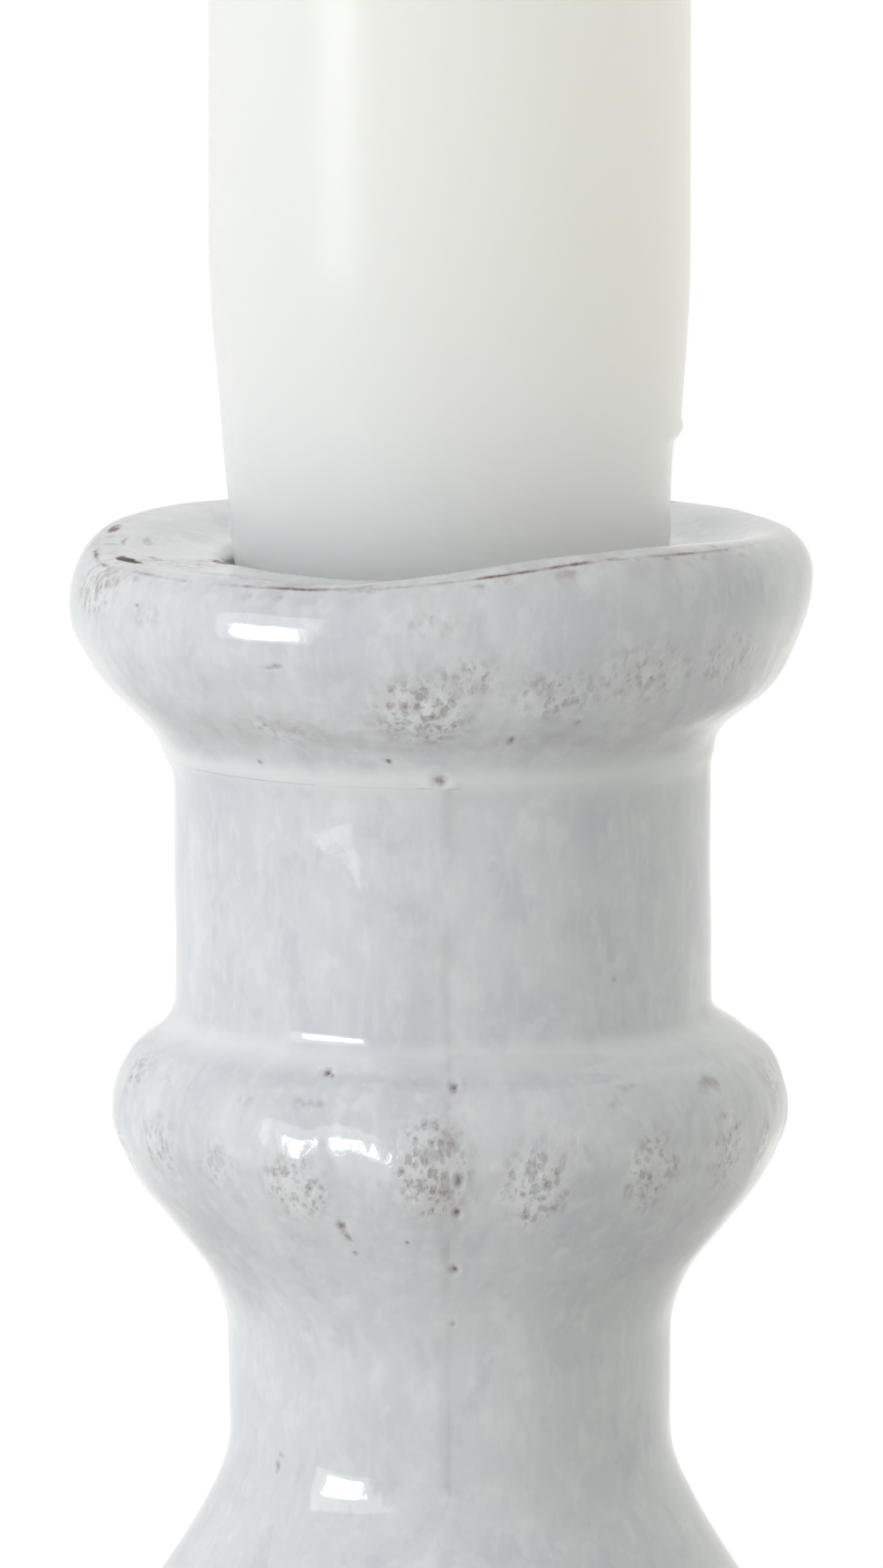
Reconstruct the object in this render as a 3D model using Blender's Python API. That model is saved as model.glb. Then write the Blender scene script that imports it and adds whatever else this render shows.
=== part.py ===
"""A glazed ceramic candlestick holding a household candle, in metres with +Z up.

The holder stands on Z = 0 and everything is turned about the Z axis. Its clay parts are pressed and turned
separately and joined with slip: the foot, the two half shells of the stem, which meet on the plane X = 0, the
disc that floors the candle socket, and the drip dish. The candle stands in the socket and lifts out upwards.
"""

import math

import bmesh
import bpy

# Candle. Its end tapers, so that it seats itself in a socket a little narrower than its wall.
CANDLE_RADIUS = 0.0110
CANDLE_LENGTH = 0.127
TAPER_LENGTH = 0.0385
TAPER_AT_LIP = 0.0010
TAPER_AT_END = 0.0024
CANDLE_SHOULDER = 0.0014
WICK_RADIUS = 0.0010
WICK_STANDS_OUT = 0.007

# Clearances between separate solids.
SOCKET_CLEARANCE = 0.0004
WICK_CLEARANCE = 0.0003
JOINT_GAP = 0.0003

# Holder.
HOLDER_HEIGHT = 0.150
NECK_WALL = 0.00193
STEM_WALL = 0.0024
FOOT_WALL = 0.0034

# Drip dish. The lip is a soft roll, and the pan inside it slopes to the socket's rounded mouth.
DISH_HEIGHT = 0.0102
LIP_OVERHANG = 0.00473
LIP_ROLL = 0.0019
LIP_WIDEST_BELOW_TOP = 0.0024
UNDERSIDE_BELOW_TOP = 0.0071
UNDERSIDE_INSET = 0.0018
PAN_DEPTH = 0.0013
MOUTH_ROUNDING = 0.0008

# Socket.
SEAT_DEPTH = 0.0250
FLOOR_THICKNESS = 0.0025
FLOOR_VENT_RADIUS = 0.0015
LEDGE_WIDTH = 0.0013

# Stem. The ring's corner, bulge and underside lie at these shares of its height below its top.
NECK_LENGTH = 0.0100
RING_HEIGHT = 0.0178
RING_OVERHANG = 0.00314
RING_CORNER_INSET = 0.0010
RING_UNDERSIDE_INSET = 0.0026
RING_CORNER, RING_BULGE, RING_UNDERSIDE = 0.19, 0.33, 0.65
WAIST_INSET = 0.00223
WAIST_LENGTH = 0.0022
BALUSTER_RADIUS = 0.0176
BALUSTER_BULGE = 0.29  # share of the way from the waist to the foot
STEM_RADIUS = 0.0092
BEAD_RADIUS = 0.0138
BEAD_HEIGHT = 0.0115

# Foot.
FOOT_RADIUS = 0.0450
FOOT_HEIGHT = 0.0470
FOOT_FLARE = 0.0014
FOOT_SWEEP_INSET = 0.0120
FOOT_STEP_INSET = 0.0090
FOOT_STEP_HEIGHT = 0.0124
FOOT_STEP_RISE = 0.0026
FOOT_BULGE_HEIGHT = 0.0062
FOOT_UNDERCUT = 0.0024
FOOT_RING_WIDTH = 0.0040

TURNS = 40
ARC_STEPS = 4
LONG_ARC_STEPS = 6
ARC_HANDLE = 0.38  # share of the chord that makes a Bezier arc close to a round one
SHARP_ANGLE = math.radians(50)

# Worked out from the above.
MOUTH_RADIUS = CANDLE_RADIUS - TAPER_AT_LIP + SOCKET_CLEARANCE
SEAT_RADIUS = CANDLE_RADIUS - TAPER_AT_END + SOCKET_CLEARANCE
NECK_RADIUS = MOUTH_RADIUS + NECK_WALL
WAIST_RADIUS = NECK_RADIUS - WAIST_INSET
WAIST_BORE = SEAT_RADIUS - LEDGE_WIDTH
NECK_TOP = HOLDER_HEIGHT - DISH_HEIGHT
RING_TOP = NECK_TOP - NECK_LENGTH
WAIST_TOP = RING_TOP - RING_HEIGHT
WAIST_BOTTOM = WAIST_TOP - WAIST_LENGTH
CANDLE_BASE = HOLDER_HEIGHT - SEAT_DEPTH
FLOOR_TOP = CANDLE_BASE - JOINT_GAP
LEDGE = FLOOR_TOP - FLOOR_THICKNESS - JOINT_GAP
STEM_BORE = STEM_RADIUS - STEM_WALL
FOOT_JOINT_RADIUS = STEM_RADIUS + FOOT_FLARE


def socket_radius(height):
    """Radius of the socket's cone, which narrows from the lip to the candle's base."""
    depth = (HOLDER_HEIGHT - height) / SEAT_DEPTH
    return MOUTH_RADIUS + (SEAT_RADIUS - MOUTH_RADIUS) * depth


def arcs(stations, steps=ARC_STEPS):
    """Points (radius, height) on Bezier arcs through stations of (radius, height, heading in degrees).

    A heading of 0 runs outwards and -90 runs straight down.
    """
    points = [stations[0][:2]]
    for (r0, z0, turn0), (r1, z1, turn1) in zip(stations, stations[1:]):
        handle = ARC_HANDLE * math.hypot(r1 - r0, z1 - z0)
        a, b = math.radians(turn0), math.radians(turn1)
        ra, za = r0 + handle * math.cos(a), z0 + handle * math.sin(a)
        rb, zb = r1 - handle * math.cos(b), z1 - handle * math.sin(b)
        for step in range(1, steps + 1):
            t = step / steps
            w = ((1 - t) ** 3, 3 * t * (1 - t) ** 2, 3 * t * t * (1 - t), t**3)
            points.append(
                (
                    w[0] * r0 + w[1] * ra + w[2] * rb + w[3] * r1,
                    w[0] * z0 + w[1] * za + w[2] * zb + w[3] * z1,
                )
            )
    return points


def inset(stations, wall):
    """The same stations moved inwards by a wall's thickness, square to their headings."""
    return [
        (
            r + wall * math.sin(math.radians(turn)),
            z - wall * math.cos(math.radians(turn)),
            turn,
        )
        for r, z, turn in stations
    ]


def material(name, colour, roughness):
    made = bpy.data.materials.new(name)
    made.use_nodes = True
    shader = made.node_tree.nodes["Principled BSDF"]
    shader.inputs["Base Color"].default_value = (*colour, 1.0)
    shader.inputs["Roughness"].default_value = roughness
    shader.inputs["Metallic"].default_value = 0.0
    return made


def turned(name, outline, finish, start=0.0, sweep=360.0):
    """A solid turned about Z from a closed outline that runs down the outside and back up the inside.

    A sweep of less than a whole turn is closed by its two cut faces.
    """
    whole = sweep == 360.0
    steps = round(TURNS * sweep / 360)
    mesh = bmesh.new()
    rows = []
    for step in range(steps if whole else steps + 1):
        angle = math.radians(start + sweep * step / steps)
        rows.append(
            [
                mesh.verts.new((r * math.cos(angle), r * math.sin(angle), z))
                for r, z in outline
            ]
        )
    pairs = list(zip(rows, rows[1:])) + ([(rows[-1], rows[0])] if whole else [])
    for here, there in pairs:
        for i, corner in enumerate(here):
            mesh.faces.new((corner, here[i - 1], there[i - 1], there[i]))
    if not whole:
        mesh.faces.new(rows[0])
        mesh.faces.new(reversed(rows[-1]))
    bmesh.ops.recalc_face_normals(mesh, faces=mesh.faces)
    data = bpy.data.meshes.new(name)
    mesh.to_mesh(data)
    mesh.free()
    data.materials.append(finish)
    data.shade_smooth()
    data.set_sharp_from_angle(angle=SHARP_ANGLE)
    piece = bpy.data.objects.new(name, data)
    bpy.context.scene.collection.objects.link(piece)
    return piece


def drip_dish(glaze):
    """The rolled lip, the shallow pan inside it, and the hole that the candle goes through."""
    base = NECK_TOP + JOINT_GAP / 2
    lip = NECK_RADIUS + LIP_OVERHANG
    crest = lip - LIP_ROLL
    pan = HOLDER_HEIGHT - PAN_DEPTH
    outside = arcs(
        [
            (crest, HOLDER_HEIGHT, 0),
            (lip, HOLDER_HEIGHT - LIP_WIDEST_BELOW_TOP, -90),
            (lip - UNDERSIDE_INSET, HOLDER_HEIGHT - UNDERSIDE_BELOW_TOP, -133),
            (NECK_RADIUS + JOINT_GAP, base, -105),
        ]
    )
    inside = arcs(
        [
            (crest, HOLDER_HEIGHT, 180),
            (MOUTH_RADIUS + MOUTH_ROUNDING, pan, 180),
            (socket_radius(pan - MOUTH_ROUNDING), pan - MOUTH_ROUNDING, -90),
        ]
    )
    return turned("drip_dish", outside + [(socket_radius(base), base)] + inside[:0:-1], glaze)


def stem_outside():
    """Stations down the stem's outside: below the ring, they are shared out over the height that is left."""
    ring = NECK_RADIUS + RING_OVERHANG
    run = WAIST_BOTTOM - FOOT_HEIGHT
    bead = FOOT_HEIGHT + 0.6 * BEAD_HEIGHT
    upper = [
        (NECK_RADIUS, RING_TOP, -90),
        (ring - RING_CORNER_INSET, RING_TOP - RING_CORNER * RING_HEIGHT, -47),
        (ring, RING_TOP - RING_BULGE * RING_HEIGHT, -90),
        (ring - RING_UNDERSIDE_INSET, RING_TOP - RING_UNDERSIDE * RING_HEIGHT, -130),
        (WAIST_RADIUS, WAIST_TOP, -90),
    ]
    lower = [
        (WAIST_RADIUS, WAIST_BOTTOM, -90),
        (BALUSTER_RADIUS, WAIST_BOTTOM - BALUSTER_BULGE * run, -90),
        (STEM_RADIUS, bead + 0.75 * BEAD_HEIGHT, -90),
        (BEAD_RADIUS, bead, -90),
        (FOOT_JOINT_RADIUS, FOOT_HEIGHT + JOINT_GAP / 2, -95),
    ]
    return upper, lower


def stem_half(name, start, side, glaze):
    """Half of the hollow stem: the socket in its neck, a ledge for the socket's floor, and the core below."""
    upper, lower = stem_outside()
    top = NECK_TOP - JOINT_GAP / 2
    outside = [(NECK_RADIUS, top)] + arcs(upper) + arcs(lower, LONG_ARC_STEPS)
    core = [
        (WAIST_BORE, WAIST_BOTTOM, -90),
        (BALUSTER_RADIUS - STEM_WALL, lower[1][1], -90),
        (STEM_BORE, lower[2][1], -90),
    ]
    inside = [
        (STEM_BORE, lower[-1][1]),
        *arcs(core, LONG_ARC_STEPS)[::-1],
        (WAIST_BORE, LEDGE),
        (socket_radius(LEDGE), LEDGE),
        (socket_radius(top), top),
    ]
    half = turned(name, outside + inside, glaze, start, 180.0)
    half.location.x = side * JOINT_GAP / 2
    return half


def socket_floor(clay):
    """The disc that the candle's end stands on, dropped on to the ledge before the halves are closed."""
    bottom = LEDGE + JOINT_GAP
    outline = [
        (socket_radius(FLOOR_TOP) - JOINT_GAP, FLOOR_TOP),
        (socket_radius(bottom) - JOINT_GAP, bottom),
        (FLOOR_VENT_RADIUS, bottom),
        (FLOOR_VENT_RADIUS, FLOOR_TOP),
    ]
    return turned("socket_floor", outline, clay)


def foot(glaze):
    """The hollow foot: a concave sweep from the stem out to a rolled edge, on a flat foot ring."""
    top = FOOT_HEIGHT - JOINT_GAP / 2
    sweep = [
        (FOOT_JOINT_RADIUS, top, -88),
        (FOOT_JOINT_RADIUS + 0.09 * FOOT_RADIUS, 0.71 * FOOT_HEIGHT, -64),
        (FOOT_RADIUS - FOOT_SWEEP_INSET, FOOT_STEP_HEIGHT + FOOT_STEP_RISE, -16),
        (FOOT_RADIUS - FOOT_STEP_INSET, FOOT_STEP_HEIGHT, -28),
        (FOOT_RADIUS, FOOT_BULGE_HEIGHT, -90),
        (FOOT_RADIUS - FOOT_UNDERCUT, 0.0, -120),
    ]
    hollow = inset(sweep, FOOT_WALL)
    hollow[0] = (STEM_BORE, top, -90)
    hollow[-1] = (FOOT_RADIUS - FOOT_UNDERCUT - FOOT_RING_WIDTH, 0.0, -90)
    return turned("foot", arcs(sweep) + arcs(hollow)[::-1], glaze)


def candle(wax):
    """The wax body, with its wick hole right through it."""
    top = CANDLE_BASE + CANDLE_LENGTH
    bore = WICK_RADIUS + WICK_CLEARANCE
    shoulder = [
        (CANDLE_RADIUS - CANDLE_SHOULDER, top, 0),
        (CANDLE_RADIUS, top - CANDLE_SHOULDER, -90),
    ]
    taper = [
        (CANDLE_RADIUS, CANDLE_BASE + TAPER_LENGTH, -90),
        (CANDLE_RADIUS - TAPER_AT_LIP, HOLDER_HEIGHT, -94),
    ]
    end = [(CANDLE_RADIUS - TAPER_AT_END, CANDLE_BASE), (bore, CANDLE_BASE), (bore, top)]
    return turned("candle", arcs(shoulder) + arcs(taper) + end, wax)


def wick(cotton):
    """A plain cord from the candle's base to above its top."""
    bpy.ops.mesh.primitive_cylinder_add(
        vertices=12,
        radius=WICK_RADIUS,
        depth=CANDLE_LENGTH + WICK_STANDS_OUT,
        location=(0, 0, CANDLE_BASE + (CANDLE_LENGTH + WICK_STANDS_OUT) / 2),
    )
    cord = bpy.context.object
    cord.name = cord.data.name = "wick"
    cord.data.materials.append(cotton)
    cord.data.shade_smooth()
    cord.data.set_sharp_from_angle(angle=SHARP_ANGLE)
    return cord


def main():
    for old in list(bpy.data.objects):
        bpy.data.objects.remove(old)
    glaze = material("white_glaze", (0.62, 0.65, 0.66), 0.15)
    clay = material("bare_clay", (0.13, 0.09, 0.07), 0.8)
    wax = material("white_wax", (0.80, 0.81, 0.76), 0.35)
    cotton = material("wick_cotton", (0.85, 0.82, 0.74), 0.9)
    drip_dish(glaze)
    stem_half("stem_left_shell", 90.0, -1, glaze)
    stem_half("stem_right_shell", -90.0, 1, glaze)
    socket_floor(clay)
    foot(glaze)
    lift = bpy.data.objects.new("candle_lift", None)
    lift.location.z = CANDLE_BASE
    bpy.context.scene.collection.objects.link(lift)
    bpy.context.view_layer.update()
    for piece in (candle(wax), wick(cotton)):
        piece.parent = lift
        piece.matrix_parent_inverse = lift.matrix_world.inverted()


main()
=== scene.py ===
"""The looks of a hand-pressed, white-glazed candlestick and the candle that stands in it.

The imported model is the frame: every piece here takes the place of one CAD node, on that node's body.
Shapes are worked out in millimetres and made in metres. Turns round the Z axis are in degrees from the
front, which faces -Y, and grow towards +X.
"""

import logging
import math
from dataclasses import dataclass
from enum import Enum
from typing import NamedTuple

import bpy
import numpy as np
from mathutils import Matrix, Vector


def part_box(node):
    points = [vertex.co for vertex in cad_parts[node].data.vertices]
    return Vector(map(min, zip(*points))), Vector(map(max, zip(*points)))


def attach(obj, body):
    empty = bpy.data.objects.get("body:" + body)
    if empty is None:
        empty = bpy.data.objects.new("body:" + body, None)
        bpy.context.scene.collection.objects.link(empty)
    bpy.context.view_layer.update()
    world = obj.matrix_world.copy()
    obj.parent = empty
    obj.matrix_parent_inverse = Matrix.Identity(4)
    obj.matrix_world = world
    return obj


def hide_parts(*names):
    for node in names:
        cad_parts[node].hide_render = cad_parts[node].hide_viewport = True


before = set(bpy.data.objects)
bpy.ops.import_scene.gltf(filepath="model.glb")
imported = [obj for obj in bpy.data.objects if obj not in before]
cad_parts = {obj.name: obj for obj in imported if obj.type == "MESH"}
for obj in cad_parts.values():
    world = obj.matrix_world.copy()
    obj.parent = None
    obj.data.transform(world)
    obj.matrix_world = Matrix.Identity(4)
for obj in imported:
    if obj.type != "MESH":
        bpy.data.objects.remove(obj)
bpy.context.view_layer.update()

MM = 0.001
SHARP_EDGE = math.radians(62)
HANDLE = 0.38  # share of the chord that makes a Bezier arc close to a round one
LIP_OVERHANG = 4.73  # how far the pan's lip stands out past the neck, in millimetres

log = logging.getLogger("candlestick")


class Body(Enum):
    """The two rigid bodies of the frame."""

    HOLDER = "holder"
    CANDLE = "candle"


class Slot(Enum):
    """The record's material slots."""

    GLAZE = "white_glaze"
    CLAY = "bare_clay"
    WAX = "white_wax"
    COTTON = "wick_cotton"


class Station(NamedTuple):
    """A point that an outline passes, in millimetres. Its heading is 0 outwards and -90 straight down."""

    radius: float
    height: float
    heading: float


# -------------------------------------------------------------------------------------------- shapes


def smooth(low: float, high: float, value: np.ndarray) -> np.ndarray:
    """A soft step.

    Args:
        low: Where the step starts, at 0.
        high: Where it ends, at 1. It may be below low, for a step that falls.
        value: What is stepped.

    Returns:
        Numbers from 0 to 1, in the shape of value.
    """
    share = np.clip((value - low) / (high - low), 0.0, 1.0)
    return share * share * (3.0 - 2.0 * share)


def bell(distance: np.ndarray, width: float) -> np.ndarray:
    """A round hump of that half width, 1 at distance 0."""
    return np.exp(-((distance / width) ** 2))


def full_circle(columns: int) -> np.ndarray:
    """The turns in degrees of that many columns, all the way round."""
    return np.arange(columns) * 360.0 / columns


def from_front(turn: np.ndarray) -> np.ndarray:
    """Turns in degrees, brought between -180 and 180 with 0 at the front."""
    return (turn + 180.0) % 360.0 - 180.0


class Lumps:
    """Seeded soft noise in space, the same at every run."""

    CELLS = 64

    def __init__(self, seed: int) -> None:
        """Draws the lattice of random values that the noise blends between."""
        rng = np.random.default_rng(seed)
        self.lattice = rng.uniform(-1.0, 1.0, (self.CELLS,) * 3).astype(np.float32)

    def at(self, points: np.ndarray, across: float, tall: float | None = None) -> np.ndarray:
        """Noise at some points.

        Args:
            points: Places in millimetres, with x, y and z in the last axis.
            across: Size of a lump, in millimetres.
            tall: Its size along Z, where it differs.

        Returns:
            Numbers from -1 to 1, one for each point.
        """
        scaled = points / np.array([across, across, tall or across])
        cell = np.floor(scaled).astype(np.int64)
        share = scaled - cell
        share = share * share * share * (share * (share * 6.0 - 15.0) + 10.0)
        total = np.zeros(points.shape[:-1])
        for corner in np.ndindex(2, 2, 2):
            weight = np.prod(np.where(corner, share, 1.0 - share), axis=-1)
            place = (cell + corner) % self.CELLS
            total += weight * self.lattice[place[..., 0], place[..., 1], place[..., 2]]
        return total


def arcs(stations: list[Station], rows: list[int]) -> np.ndarray:
    """Points on Bezier arcs through stations.

    Args:
        stations: What the outline passes.
        rows: The number of steps between each station and the next.

    Returns:
        An array of (radius, height), without the last station.
    """
    parts = []
    for here, there, count in zip(stations, stations[1:], rows):
        t = (np.arange(count) / count)[:, None]
        start, end = np.array(here[:2]), np.array(there[:2])
        reach = HANDLE * np.linalg.norm(end - start)
        out = np.array([math.cos(math.radians(here.heading)), math.sin(math.radians(here.heading))])
        back = np.array([math.cos(math.radians(there.heading)), math.sin(math.radians(there.heading))])
        parts.append(
            (1 - t) ** 3 * start
            + 3 * t * (1 - t) ** 2 * (start + reach * out)
            + 3 * t * t * (1 - t) * (end - reach * back)
            + t**3 * end
        )
    return np.concatenate(parts)


def straight(corners: list[tuple[float, float]], rows: list[int]) -> np.ndarray:
    """Points on straight runs between corners.

    Args:
        corners: (radius, height) of each corner.
        rows: The number of steps on each run.

    Returns:
        An array of (radius, height), with the last corner left out.
    """
    runs = zip(corners, corners[1:], rows)
    return np.concatenate([np.linspace(a, b, count, endpoint=False) for a, b, count in runs])


class Skin:
    """A closed outline turned about Z, as a grid of columns by rows that can be pushed about.

    Attributes:
        turn: Each column's turn in degrees, as a column vector.
        radius: Distance from the axis in millimetres, columns by rows.
        height: Height in millimetres, columns by rows.
        marks: Named values from 0 to 1 that the finish reads, columns by rows.
    """

    def __init__(self, turns: np.ndarray, left: np.ndarray, right: np.ndarray, whole: bool) -> None:
        """Turns an outline that changes from its left side to its right.

        Args:
            turns: The columns' turns in degrees.
            left: Outline at -90 degrees, down the outside and back up the inside.
            right: Outline at +90 degrees, with as many points.
            whole: True if the last column joins the first.
        """
        self.whole = whole
        self.turn = turns[:, None]
        share = (1.0 + np.sin(np.radians(self.turn))) / 2.0
        self.radius = left[:, 0] * (1.0 - share) + right[:, 0] * share
        self.height = left[:, 1] * (1.0 - share) + right[:, 1] * share
        along_r = np.roll(self.radius, -1, 1) - np.roll(self.radius, 1, 1)
        along_z = np.roll(self.height, -1, 1) - np.roll(self.height, 1, 1)
        length = np.maximum(np.hypot(along_r, along_z), 1e-6)
        self.out, self.up = -along_z / length, along_r / length
        self.marks: dict[str, np.ndarray] = {}

    def points(self) -> np.ndarray:
        """Every point in millimetres, columns by rows by (x, y, z)."""
        angle = np.radians(self.turn)
        return np.stack([self.radius * np.sin(angle), -self.radius * np.cos(angle), self.height], axis=-1)

    def push(self, amount: np.ndarray) -> None:
        """Moves every point along its outline's normal by an amount in millimetres."""
        self.radius = self.radius + self.out * amount
        self.height = self.height + self.up * amount

    def face_out(self, row: int) -> None:
        """Makes one row move straight out, so that it keeps meeting its neighbour's."""
        self.out[:, row], self.up[:, row] = 1.0, 0.0

    def mark(self, name: str, value: np.ndarray) -> None:
        """Keeps the larger of a mark's old and new value at each point."""
        old = self.marks.get(name, np.zeros_like(self.radius))
        self.marks[name] = np.maximum(old, np.clip(value, 0.0, 1.0))

    def from_place(self, turn: float, height: float) -> tuple[np.ndarray, np.ndarray]:
        """Distances from a place on the skin.

        Args:
            turn: The place's turn in degrees.
            height: Its height in millimetres.

        Returns:
            How far each point is round the skin and up it, in millimetres.
        """
        return np.radians(from_front(self.turn - turn)) * self.radius, self.height - height

    def mesh(self, name: str) -> bpy.types.Object:
        """The skin as a closed mesh object in the scene.

        Args:
            name: The piece's name.

        Returns:
            The new object, at the origin.
        """
        columns, rows = self.radius.shape
        index = np.arange(columns * rows).reshape(columns, rows)
        nearer = index if self.whole else index[:-1]
        further = np.roll(index, -1, 0) if self.whole else index[1:]
        quads = np.stack([nearer, np.roll(nearer, -1, 1), np.roll(further, -1, 1), further], axis=-1)
        loops = [quads.reshape(-1)]
        sizes = [np.full(quads.size // 4, 4)]
        if not self.whole:
            loops += [index[0][::-1], index[-1]]
            sizes.append(np.array([rows, rows]))
        corners, counts = np.concatenate(loops), np.concatenate(sizes)
        data = bpy.data.meshes.new(name)
        data.vertices.add(columns * rows)
        data.vertices.foreach_set("co", (self.points() * MM).astype(np.float32).ravel())
        data.loops.add(len(corners))
        data.loops.foreach_set("vertex_index", corners.astype(np.int32))
        data.polygons.add(len(counts))
        data.polygons.foreach_set("loop_start", (np.cumsum(counts) - counts).astype(np.int32))
        data.update(calc_edges=True)
        for mark, value in self.marks.items():
            layer = data.attributes.new(mark, "FLOAT", "POINT")
            layer.data.foreach_set("value", value.astype(np.float32).ravel())
        data.shade_smooth()
        data.set_sharp_from_angle(angle=SHARP_EDGE)
        piece = bpy.data.objects.new(name, data)
        bpy.context.scene.collection.objects.link(piece)
        return piece


# ----------------------------------------------------------------------------------- what hands left


@dataclass(frozen=True)
class Pinhole:
    """A small hole in the glaze where the clay shows.

    Attributes:
        turn: Turn in degrees.
        height: Height in millimetres.
        size: Radius in millimetres.
        tall: How much taller than wide it is.
        depth: Depth in millimetres.
        dark: How much of the clay shows, from 0 to 1.
    """

    turn: float
    height: float
    size: float
    tall: float = 1.0
    depth: float = 0.05
    dark: float = 0.72

    def press(self, skin: Skin) -> None:
        """Sinks the hole in a skin, with a lip of glaze round it and a brown bottom.

        Args:
            skin: The skin.
        """
        around, above = skin.from_place(self.turn, self.height)
        distance = np.hypot(around, above / self.tall) / self.size
        skin.push(self.depth * (0.4 * bell(distance - 1.7, 0.7) - bell(distance, 0.9)))
        skin.mark("clay", self.dark * bell(distance, 0.95))


@dataclass(frozen=True)
class PitPatch:
    """A patch where the glaze crawled into pits between raised, paler ridges.

    Attributes:
        turn: Turn of its middle in degrees.
        height: Height of its middle in millimetres.
        width: Half width in millimetres.
        tall: Half height in millimetres.
        strength: How open its pits are, from 0 to 1.
        relief: How far its ridges stand up, in millimetres.
    """

    turn: float
    height: float
    width: float
    tall: float
    strength: float = 1.0
    relief: float = 0.10

    def press(self, skin: Skin, lumps: Lumps) -> None:
        """Raises the patch on a skin and opens its pits.

        Args:
            skin: The skin.
            lumps: The noise that places the pits.
        """
        around, above = skin.from_place(self.turn, self.height)
        inside = np.exp(-(((around / self.width) ** 2 + (above / self.tall) ** 2) ** 1.6))
        worms = lumps.at(skin.points(), 0.48, 0.75) + 0.4 * lumps.at(skin.points(), 0.30, 0.4)
        pits = smooth(0.05, 0.7, worms) * inside * self.strength
        skin.push(self.relief * (0.5 * inside - 0.9 * pits))
        skin.mark("clay", 0.34 * pits)
        skin.mark("crawl", inside * min(1.0, self.strength + 0.15))


@dataclass(frozen=True)
class Dome:
    """A low round rise in the surface, or a hollow.

    Attributes:
        turn: Turn of its top in degrees.
        height: Height of its top in millimetres.
        width: Half width in millimetres.
        rise: How far it stands up, in millimetres. A hollow's is below 0.
        tall: How much taller than wide it is.
    """

    turn: float
    height: float
    width: float
    rise: float
    tall: float = 1.0

    def press(self, skin: Skin) -> None:
        """Raises the dome on a skin."""
        around, above = skin.from_place(self.turn, self.height)
        skin.push(self.rise * bell(np.hypot(around, above / self.tall), self.width))


@dataclass(frozen=True)
class HandWork:
    """What pressing and luting by hand leave on all the clay pieces alike.

    Attributes:
        lumps: The noise that they share, so that neighbours meet.
        swell: Height of the broad unevenness, in millimetres.
        dents: Height of the fingertip-sized unevenness.
        ripple: Height of the fine unevenness.
        seam_depth: Depth of the mould seam.
        seam_width: Half width of the mould seam.
        luting: Height of the bead of slip at a joint.
    """

    lumps: Lumps
    swell: float = 0.10
    dents: float = 0.055
    ripple: float = 0.012
    seam_depth: float = 0.03
    seam_width: float = 0.20
    luting: float = 0.09

    def touch(self, skin: Skin, outside: np.ndarray) -> None:
        """Makes a skin uneven.

        Args:
            skin: The skin.
            outside: 1 where it can be touched and 0 where it can't, for each row.
        """
        places = skin.points()
        amount = (
            self.swell * self.lumps.at(places, 13.0)
            + self.dents * self.lumps.at(places + 31.0, 4.5)
            + self.ripple * self.lumps.at(places + 57.0, 1.6)
        )
        skin.push(amount * outside)

    def stand_streaks(self, skin: Skin, height: float, reach: float, depth: float) -> None:
        """Lets the glaze stand in upright streaks in a band round a skin.

        Args:
            skin: The skin.
            height: Middle of the band, in millimetres.
            reach: Its half height.
            depth: How far the streaks stand up and sink.
        """
        band = bell(skin.height - height, reach)
        places = skin.points()
        streaks = self.lumps.at(places + 11.0, 0.7, 3.4) + 0.5 * self.lumps.at(places, 0.4, 1.5)
        patchy = smooth(-0.35, 0.55, self.lumps.at(places + 5.0, 5.0))
        skin.push(depth * band * patchy * streaks)
        skin.mark("crawl", 0.22 * band * patchy)

    def lute(self, skin: Skin, height: float, outside: np.ndarray) -> None:
        """Leaves a soft bead of slip round a joint, painted paler there: partly glaze pooled in it, partly
        painted light where the bead catches the light.

        Args:
            skin: The skin.
            height: The joint's height in millimetres.
            outside: 1 where it can be touched and 0 where it can't.
        """
        places = skin.points()
        drift = 0.25 * self.lumps.at(places, 5.0, 99.0)
        skin.push(self.luting * bell(skin.height - height - drift, 0.50) * outside)
        # The mark paints the bead paler: pooled glaze and painted light where the bead catches the light.
        skin.mark("pooled_glaze_and_painted_light", 0.9 * bell(skin.height - height - drift, 0.6) * outside)

    def seam(self, skin: Skin, outside: np.ndarray) -> None:
        """Draws the mould seam down a skin, at the front and the back.

        Args:
            skin: The skin.
            outside: 1 where it can be touched and 0 where it can't.
        """
        for turn in (0.0, 180.0):
            around = skin.from_place(turn, 0.0)[0] + 0.12 * self.lumps.at(skin.points(), 4.0)
            broken = smooth(-0.7, 0.3, self.lumps.at(skin.points() + 71.0, 3.0))
            groove = bell(around, self.seam_width) - 0.5 * bell(np.abs(around) - 0.6, 0.35)
            skin.push(-self.seam_depth * groove * broken * outside)
            skin.mark("seam", bell(around, 0.42) * (0.35 + 0.65 * broken) * outside)


# ------------------------------------------------------------------------------------------ finishes


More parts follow.
